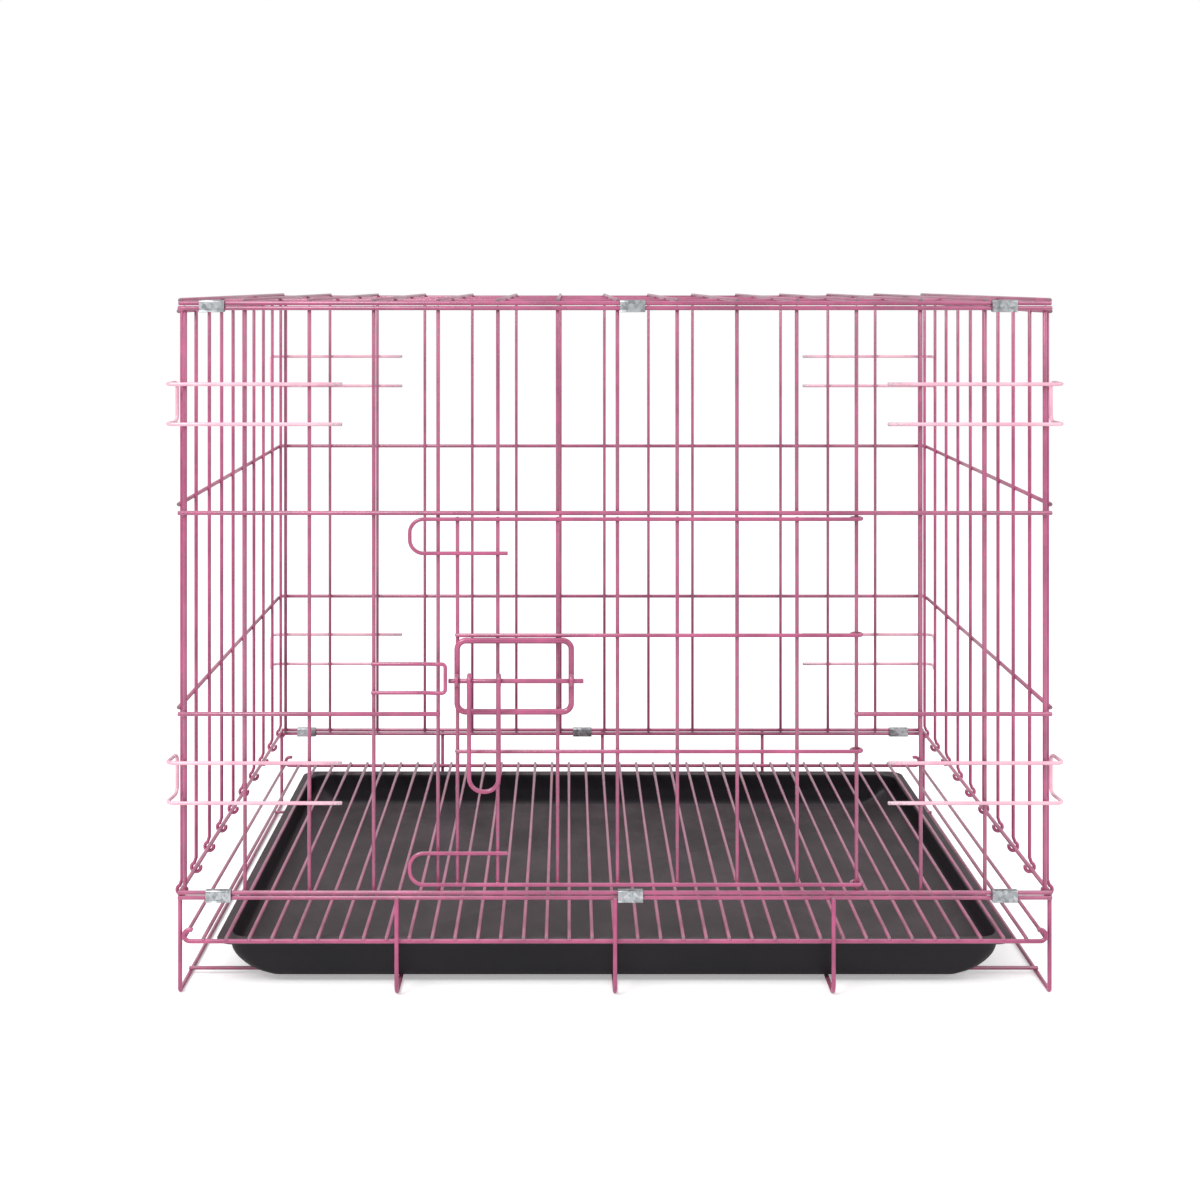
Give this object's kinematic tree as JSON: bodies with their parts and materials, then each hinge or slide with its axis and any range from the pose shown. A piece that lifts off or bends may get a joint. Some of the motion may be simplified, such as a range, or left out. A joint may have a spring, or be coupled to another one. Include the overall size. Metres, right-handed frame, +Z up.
{
  "type": "wire rabbit cage",
  "caption": "Pink wire rabbit cage with folding mesh walls, a hinged lid, a latched door, a floor grate and a black slide-out tray.",
  "frame": {"origin": "on the floor, under the middle of the base", "axes": "+X to the right along the front, +Y to the back, +Z up"},
  "size_m": [0.6206, 0.4386, 0.4807],
  "materials": {
    "pink_wire": "satin",
    "pale_wire": "satin",
    "zinc_sheet": "satin",
    "black_plastic": "matte"
  },
  "bodies": {
    "base": {"base_front_rail": "pink_wire", "base_back_rail": "pink_wire", "side_hoop_left": "pink_wire", "side_hoop_right": "pink_wire", "leg_hoop_left": "pink_wire", "leg_hoop_centre": "pink_wire", "leg_hoop_right": "pink_wire", "floor_wire_front": "pink_wire", "floor_wire_back": "pink_wire", "floor_grate": "pink_wire", "front_clip_left": "zinc_sheet", "front_clip_centre": "zinc_sheet", "front_clip_right": "zinc_sheet", "back_clip_left": "zinc_sheet", "back_clip_centre": "zinc_sheet", "back_clip_right": "zinc_sheet"},
    "front": {"front_panel": "pink_wire", "latch_catch": "pink_wire", "front_hook_left_lower": "pale_wire", "front_hook_left_upper": "pale_wire", "front_hook_right_lower": "pale_wire", "front_hook_right_upper": "pale_wire", "lid_clip_left": "zinc_sheet", "lid_clip_centre": "zinc_sheet", "lid_clip_right": "zinc_sheet"},
    "back": {"back_panel": "pink_wire", "back_hook_left_lower": "pale_wire", "back_hook_left_upper": "pale_wire", "back_hook_right_lower": "pale_wire", "back_hook_right_upper": "pale_wire"},
    "left": {"left_panel": "pink_wire"},
    "right": {"right_panel": "pink_wire"},
    "top": {"lid": "pink_wire"},
    "gate": {"door": "pink_wire", "latch_frame": "pink_wire"},
    "bolt": {"latch_bolt": "pink_wire"},
    "handle": {"latch_handle": "pink_wire"},
    "pan": {"tray": "black_plastic"}
  },
  "joints": [
    {"name": "front_fold", "type": "hinge", "parent": "base", "child": "front", "pos_m": [0, -0.21, 0.0705], "axis": [-1, 0, 0], "range_deg": [-90, 0]},
    {"name": "back_fold", "type": "hinge", "parent": "base", "child": "back", "pos_m": [0, 0.21, 0.0705], "axis": [1, 0, 0], "range_deg": [-90, 0]},
    {"name": "left_fold", "type": "hinge", "parent": "base", "child": "left", "pos_m": [-0.3006, 0, 0.0696], "axis": [0, 1, 0], "range_deg": [0, 90]},
    {"name": "right_fold", "type": "hinge", "parent": "base", "child": "right", "pos_m": [0.3006, 0, 0.0696], "axis": [0, -1, 0], "range_deg": [0, 87]},
    {"name": "lid_swing", "type": "hinge", "parent": "front", "child": "top", "pos_m": [0, -0.21, 0.477], "axis": [1, 0, 0], "range_deg": [0, 110]},
    {"name": "door_swing", "type": "hinge", "parent": "front", "child": "gate", "pos_m": [0.16689, -0.20791, 0.2], "axis": [0, 0, 1], "range_deg": [0, 160]},
    {"name": "bolt_slide", "type": "slide", "parent": "gate", "child": "bolt", "axis": [1, 0, 0], "range_m": [-0.004, 0.004]},
    {"name": "handle_swing", "type": "hinge", "parent": "bolt", "child": "handle", "pos_m": [-0.0899, -0.21843, 0.21844], "axis": [-1, 0, 0], "range_deg": [0, 150]},
    {"name": "tray_slide", "type": "slide", "parent": "base", "child": "pan", "axis": [1, 0, 0], "range_m": [-0.5, 0.5]}
  ]
}
